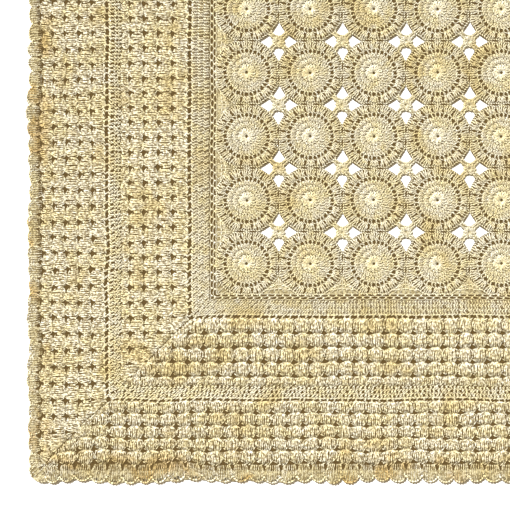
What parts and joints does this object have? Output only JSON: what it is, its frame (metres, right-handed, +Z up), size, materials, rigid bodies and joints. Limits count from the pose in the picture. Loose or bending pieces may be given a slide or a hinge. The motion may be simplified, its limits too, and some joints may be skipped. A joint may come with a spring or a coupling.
{
  "type": "throw blanket",
  "caption": "Crocheted lace throw, laid flat: a field of round wheel motifs inside wide shell-stitch borders with a scalloped edge; it folds lengthways.",
  "frame": {"origin": "middle of the throw at its underside, on the surface that it lies on", "axes": "+Z up out of the cloth's right side; +Y along the throw's length; +X across it"},
  "size_m": [1.188, 1.388, 0.005],
  "materials": {
    "motif_yarn": "cream cotton, matt, worked in close rounds",
    "joining_yarn": "cream cotton, matt, small joining motifs and fillers",
    "border_yarn": "cream cotton, matt, shells and close bands",
    "edging_yarn": "cream cotton, matt, slightly yellowed at the edge"
  },
  "bodies": {
    "left_centre": {"close_band_left_middle": "border_yarn", "edge_fillers_left": "joining_yarn", "inner_beading_left_middle": "border_yarn", "inner_shell_band_left_middle": "border_yarn", "joining_motifs_column_1": "joining_yarn", "joining_motifs_column_2": "joining_yarn", "joining_motifs_column_3": "joining_yarn", "loop_edging_left": "edging_yarn", "outer_beading_left_middle": "border_yarn", "outer_shell_band_left_middle": "border_yarn", "scallop_edging_left_middle": "edging_yarn", "solid_band_left_middle": "border_yarn", "wheel_motifs_column_1": "motif_yarn", "wheel_motifs_column_2": "motif_yarn", "wheel_motifs_column_3": "motif_yarn"},
    "left_side": {"close_band_left_side": "border_yarn", "inner_beading_left_side": "border_yarn", "inner_shell_band_left_side": "border_yarn", "outer_beading_left_side": "border_yarn", "outer_shell_band_left_side": "border_yarn", "scallop_edging_left_side": "edging_yarn", "solid_band_left_side": "border_yarn"},
    "right_centre": {"close_band_right_middle": "border_yarn", "edge_fillers_right": "joining_yarn", "inner_beading_right_middle": "border_yarn", "inner_shell_band_right_middle": "border_yarn", "joining_motifs_column_4": "joining_yarn", "joining_motifs_column_5": "joining_yarn", "loop_edging_right": "edging_yarn", "outer_beading_right_middle": "border_yarn", "outer_shell_band_right_middle": "border_yarn", "scallop_edging_right_middle": "edging_yarn", "solid_band_right_middle": "border_yarn", "wheel_motifs_column_4": "motif_yarn", "wheel_motifs_column_5": "motif_yarn", "wheel_motifs_column_6": "motif_yarn"},
    "right_side": {"close_band_right_side": "border_yarn", "inner_beading_right_side": "border_yarn", "inner_shell_band_right_side": "border_yarn", "outer_beading_right_side": "border_yarn", "outer_shell_band_right_side": "border_yarn", "scallop_edging_right_side": "edging_yarn", "solid_band_right_side": "border_yarn"}
  },
  "joints": [
    {"name": "left_fold", "type": "hinge", "parent": "left_centre", "child": "left_side", "pos_m": [-0.308, 0, 0.00515], "axis": [0, 1, 0], "range_deg": [0, 180]},
    {"name": "centre_fold", "type": "hinge", "parent": "left_centre", "child": "right_centre", "pos_m": [0, 0, 0.01045], "axis": [0, -1, 0], "range_deg": [0, 180]},
    {"name": "right_fold", "type": "hinge", "parent": "right_centre", "child": "right_side", "pos_m": [0.308, 0, 0.00515], "axis": [0, -1, 0], "range_deg": [0, 180]}
  ]
}
